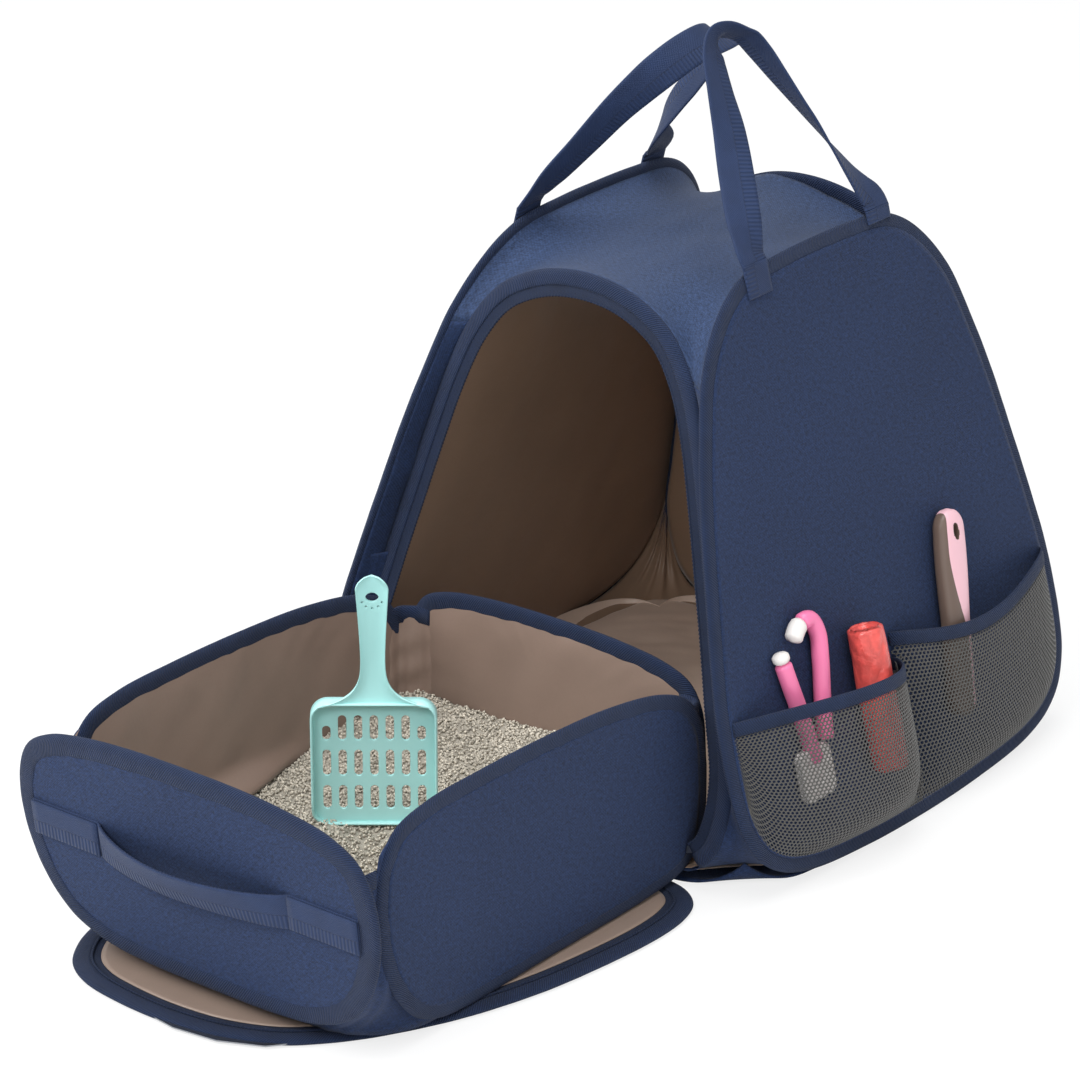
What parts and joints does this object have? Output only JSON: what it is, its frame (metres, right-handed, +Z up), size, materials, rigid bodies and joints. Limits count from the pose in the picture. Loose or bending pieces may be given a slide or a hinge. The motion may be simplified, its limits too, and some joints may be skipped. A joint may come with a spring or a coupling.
{
  "type": "cat carrier with litter box",
  "caption": "Soft hoop-framed cat carrier with zip-off front door, side pocket, two carrying loops and a lift-out fabric litter tray with scoop.",
  "frame": {"origin": "on the floor under the middle of the cabin's base", "axes": "+X to the right side wall with the pocket, +Y to the back wall, +Z up; the doorway and the tray are on the -Y side"},
  "size_m": [0.4873, 0.8812, 0.6286],
  "materials": {
    "navy_cloth": "plain-weave polyester, matt",
    "binding": "ribbed twill tape, matt",
    "webbing": "woven webbing, slightly shiny",
    "satin_lining": "coated satin, soft sheen",
    "zip_tape": "woven tape with a coil",
    "net": "open mesh, matt",
    "spring_steel": "tempered flat wire",
    "slider_metal": "cast, satin",
    "stiff_board": "rough",
    "litter": "clay granules, matt",
    "mint_plastic": "moulded, semi-gloss",
    "red_film": "thin film, glossy",
    "taupe_plastic": "moulded and rubber, satin",
    "pink_plastic": "moulded, semi-gloss"
  },
  "bodies": {
    "carrier": {"right_binding": "binding", "right_panel": "navy_cloth", "right_hoop": "spring_steel", "right_lining": "satin_lining", "left_binding": "binding", "left_panel": "navy_cloth", "left_hoop": "spring_steel", "left_lining": "satin_lining", "back_binding": "binding", "back_panel": "navy_cloth", "back_hoop": "spring_steel", "back_lining": "satin_lining", "back_window_net": "net", "front_binding": "binding", "front_zip_tape": "zip_tape", "front_hoop": "spring_steel", "roof_panel": "navy_cloth", "front_right_gusset": "navy_cloth", "front_left_gusset": "navy_cloth", "back_right_gusset": "navy_cloth", "back_left_gusset": "navy_cloth", "base_panel": "navy_cloth", "base_board": "stiff_board", "floor_mat": "satin_lining", "front_pocket_net": "net", "back_pocket_net": "net", "front_pocket_binding": "binding", "back_pocket_binding": "binding", "right_handle_patch_front": "webbing", "right_handle_patch_back": "webbing", "left_handle_patch_front": "webbing", "left_handle_patch_back": "webbing"},
    "door": {"door_binding": "binding", "door_panel": "navy_cloth", "door_hoop": "spring_steel", "door_zip_tape": "zip_tape", "door_lining": "satin_lining"},
    "tray": {"tray_right_binding": "binding", "tray_right_panel": "navy_cloth", "tray_right_hoop": "spring_steel", "tray_left_binding": "binding", "tray_left_panel": "navy_cloth", "tray_left_hoop": "spring_steel", "tray_front_binding": "binding", "tray_front_panel": "navy_cloth", "tray_front_hoop": "spring_steel", "tray_back_binding": "binding", "tray_back_panel": "navy_cloth", "tray_back_hoop": "spring_steel", "tray_strap": "webbing", "tray_liner": "satin_lining", "litter": "litter"},
    "scoop": {"scoop": "mint_plastic"},
    "zip_slider": {"zip_slider": "slider_metal"},
    "right_handle": {"right_handle": "webbing"},
    "left_handle": {"left_handle": "webbing"},
    "bag_roll": {"bag_roll": "red_film"},
    "brush": {"brush": "taupe_plastic"},
    "clippers": {"clipper_body": "pink_plastic"},
    "clipper_grip": {"clipper_hooked_grip": "pink_plastic"}
  },
  "joints": [
    {"name": "tray_lift", "type": "slide", "parent": "carrier", "child": "tray", "axis": [0, -0.2873, 0.9578], "range_m": [0, 0.8]},
    {"name": "door_hinge", "type": "hinge", "parent": "carrier", "child": "door", "pos_m": [0, -0.22367, 0.011], "axis": [-1, 0, 0], "range_deg": [0, 99.93]},
    {"name": "zip_slider_travel", "type": "slide", "parent": "carrier", "child": "zip_slider", "axis": [0.0728, 0.172, 0.9824], "range_m": [0, 0.02]},
    {"name": "right_handle_swing", "type": "hinge", "parent": "carrier", "child": "right_handle", "pos_m": [0.1103, 0, 0.4649], "axis": [0, 1, 0], "range_deg": [0, 115]},
    {"name": "left_handle_swing", "type": "hinge", "parent": "carrier", "child": "left_handle", "pos_m": [-0.1103, 0, 0.4649], "axis": [0, -1, 0], "range_deg": [0, 115]},
    {"name": "scoop_lift", "type": "slide", "parent": "tray", "child": "scoop", "axis": [0, 0, 1], "range_m": [0, 0.12]},
    {"name": "bag_roll_pull", "type": "slide", "parent": "carrier", "child": "bag_roll", "axis": [-0.2516, 0, 0.9678], "range_m": [0, 0.12]},
    {"name": "brush_pull", "type": "slide", "parent": "carrier", "child": "brush", "axis": [-0.2516, 0, 0.9678], "range_m": [0, 0.14]},
    {"name": "clippers_pull", "type": "slide", "parent": "carrier", "child": "clippers", "axis": [-0.2516, 0, 0.9678], "range_m": [0, 0.14]},
    {"name": "clipper_squeeze", "type": "hinge", "parent": "clippers", "child": "clipper_grip", "pos_m": [0.20903, -0.11448, 0.10274], "axis": [0.9678, 0, 0.2516], "range_deg": [0, 10]}
  ],
  "couplings": [
    {"joint": "door_hinge", "follows": "tray_lift", "rad_per_m": 2.18}
  ]
}
